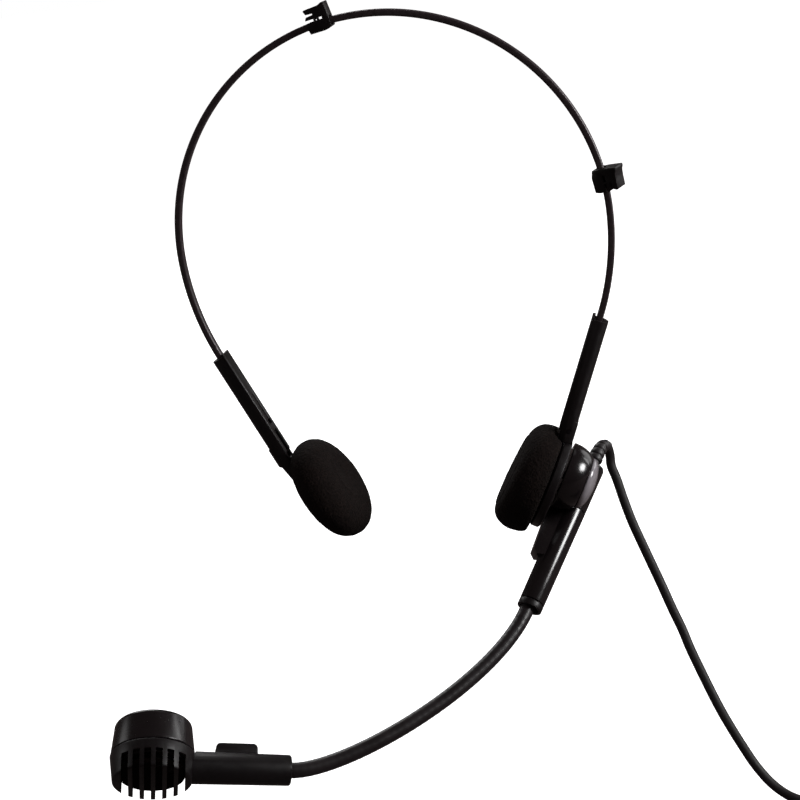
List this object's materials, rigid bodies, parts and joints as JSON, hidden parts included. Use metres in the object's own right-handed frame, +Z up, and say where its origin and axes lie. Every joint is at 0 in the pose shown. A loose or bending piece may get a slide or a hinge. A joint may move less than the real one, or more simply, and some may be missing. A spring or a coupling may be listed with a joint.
{
  "type": "headset microphone",
  "caption": "Sprung wire headband with sliding arms and foam temple pads, a swinging boom with a gooseneck, a swivelling microphone capsule, and a coiled cord with a round connector.",
  "frame": {"origin": "middle of the wearer's head, midway between the temple pads and level with the boom's pivot", "axes": "+Z up, the wearer looks along -Y, and the boom is on the +X side"},
  "size_m": [0.2523, 0.1373, 0.2907],
  "materials": {
    "wire_finish": "black satin coating on spring steel",
    "satin_plastic": "black moulded plastic, fine satin texture",
    "gloss_plastic": "black moulded plastic, polished",
    "lens_plastic": "smoke-grey plastic with a high polish",
    "foam": "open-cell foam, matt black",
    "rubber": "black soft moulding, satin",
    "gooseneck_sleeve": "thin black sleeve, satin",
    "cord_jacket": "black cable jacket, satin",
    "tie_strap": "black woven hook-and-loop strap",
    "steel": "plain steel",
    "brass": "gold-coloured contact metal",
    "dark_metal": "black metal, satin"
  },
  "bodies": {
    "right_pad": {"pad_plate_right": "satin_plastic", "foam_pad_right": "foam", "hinge_pin_right": "dark_metal", "pivot_screw": "steel", "pivot_nut": "steel", "friction_washer": "steel", "cord_tube": "cord_jacket", "cord_coil": "cord_jacket", "cord_tie": "tie_strap", "cord_tail": "cord_jacket", "plug_boot": "rubber", "plug_shell": "dark_metal", "plug_insert": "satin_plastic", "plug_contact_1": "brass", "plug_contact_2": "brass", "plug_contact_3": "brass", "plug_contact_4": "brass"},
    "boom": {"pivot_housing": "gloss_plastic", "pivot_lens_cap": "lens_plastic", "boom_tube": "gloss_plastic", "tube_collar": "satin_plastic", "strain_relief": "rubber", "gooseneck": "gooseneck_sleeve", "swivel_bush": "dark_metal"},
    "capsule": {"capsule_housing": "satin_plastic", "capsule_cap": "gloss_plastic", "capsule_foam": "foam", "shock_ring": "rubber", "dynamic_element": "steel", "diaphragm_cover": "dark_metal"},
    "right_arm": {"arm_right": "satin_plastic"},
    "headband": {"headband_wire": "wire_finish", "wire_stop_left": "steel", "wire_stop_right": "steel"},
    "left_arm": {"arm_left": "satin_plastic"},
    "left_pad": {"pad_plate_left": "satin_plastic", "foam_pad_left": "foam", "hinge_pin_left": "dark_metal"},
    "top_clip": {"cable_clip_top": "satin_plastic"},
    "side_clip": {"cable_clip_side": "satin_plastic"},
    "latch": {"plug_latch": "dark_metal"}
  },
  "joints": [
    {"name": "boom_swing", "type": "hinge", "parent": "right_pad", "child": "boom", "pos_m": [0.04374, 0, 0.00003], "axis": [-0.8746, 0, 0.4848], "range_deg": [-40, 100], "deforming": ["cord_tube"]},
    {"name": "capsule_swivel", "type": "hinge", "parent": "boom", "child": "capsule", "pos_m": [-0.04264, -0.08175, -0.06241], "axis": [0.9194, 0.2961, -0.2588], "range_deg": [-90, 90]},
    {"name": "right_pad_tilt", "type": "hinge", "parent": "right_pad", "child": "right_arm", "pos_m": [0.04988, 0, 0.01481], "axis": [0, 1, 0], "range_deg": [-12, 12]},
    {"name": "right_arm_slide", "type": "slide", "parent": "right_arm", "child": "headband", "axis": [0.3907, 0, 0.9205], "range_m": [0, 0.025]},
    {"name": "left_arm_slide", "type": "slide", "parent": "headband", "child": "left_arm", "axis": [0.3907, 0, -0.9205], "range_m": [0, 0.025]},
    {"name": "left_pad_tilt", "type": "hinge", "parent": "left_arm", "child": "left_pad", "pos_m": [-0.05035, 0, 0.01591], "axis": [0, 1, 0], "range_deg": [-12, 12]},
    {"name": "top_clip_slide", "type": "hinge", "parent": "headband", "child": "top_clip", "pos_m": [0, 0, 0.0877], "axis": [0, 1, 0], "range_deg": [-15, 15]},
    {"name": "side_clip_slide", "type": "hinge", "parent": "headband", "child": "side_clip", "pos_m": [0, 0, 0.0877], "axis": [0, 1, 0], "range_deg": [-15, 4]},
    {"name": "plug_latch_press", "type": "slide", "parent": "right_pad", "child": "latch", "axis": [0, 0, -1], "range_m": [0, 0.0008], "stiffness_N_per_m": 500}
  ]
}
